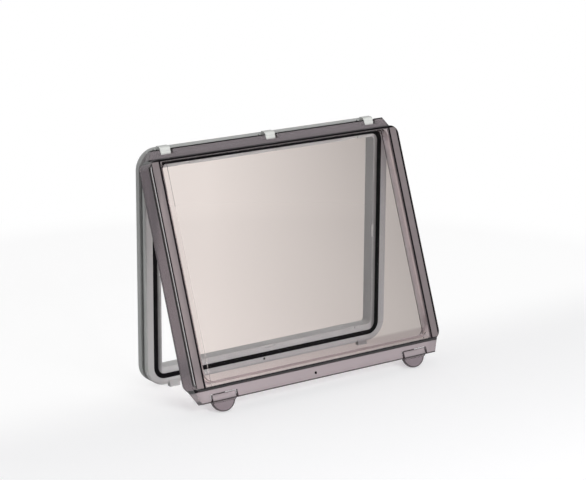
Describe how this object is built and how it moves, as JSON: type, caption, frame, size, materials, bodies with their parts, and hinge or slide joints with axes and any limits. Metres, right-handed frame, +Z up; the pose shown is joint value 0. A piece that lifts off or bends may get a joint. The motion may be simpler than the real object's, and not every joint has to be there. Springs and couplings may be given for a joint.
{
  "type": "hinged inspection window",
  "caption": "Rectangular polycarbonate inspection window: a sealed grey frame and a smoked clear cover that hangs on hinge clips and latches on finger tabs.",
  "frame": {"origin": "middle of the standing part's footprint, on the floor", "axes": "+X along the hinge pins, towards the right seen from the cover's side; +Y from the cover to the rear face of the frame; +Z up"},
  "size_m": [0.259, 0.0944, 0.2075],
  "materials": {
    "frame_plastic": "moulded, fine satin",
    "seal_rubber": "matt",
    "smoked_clear": "clear smoked polycarbonate, polished",
    "clip_plastic": "moulded, satin",
    "pin_steel": "drawn wire, bright"
  },
  "bodies": {
    "frame": {"base_frame": "frame_plastic", "cover_seal": "seal_rubber", "groove_gasket": "seal_rubber", "hinge_clip_left": "clip_plastic", "hinge_clip_middle": "clip_plastic", "hinge_clip_right": "clip_plastic"},
    "cover": {"window_cover": "smoked_clear", "hinge_pin_left": "pin_steel", "hinge_pin_middle": "pin_steel", "hinge_pin_right": "pin_steel"},
    "latch_left": {"latch_tab_left": "smoked_clear"},
    "latch_right": {"latch_tab_right": "smoked_clear"}
  },
  "joints": [
    {"name": "cover_hinge", "type": "hinge", "parent": "frame", "child": "cover", "pos_m": [0, 0.0356, 0.2022], "axis": [-1, 0, 0], "range_deg": [-20.87, 69.13]},
    {"name": "latch_left_flex", "type": "hinge", "parent": "cover", "child": "latch_left", "pos_m": [-0.099, -0.04292, 0.01595], "axis": [-1, 0, 0], "range_deg": [-1, 12], "stiffness_Nm_per_rad": 2},
    {"name": "latch_right_flex", "type": "hinge", "parent": "cover", "child": "latch_right", "pos_m": [0.099, -0.04292, 0.01595], "axis": [-1, 0, 0], "range_deg": [-1, 12], "stiffness_Nm_per_rad": 2}
  ]
}
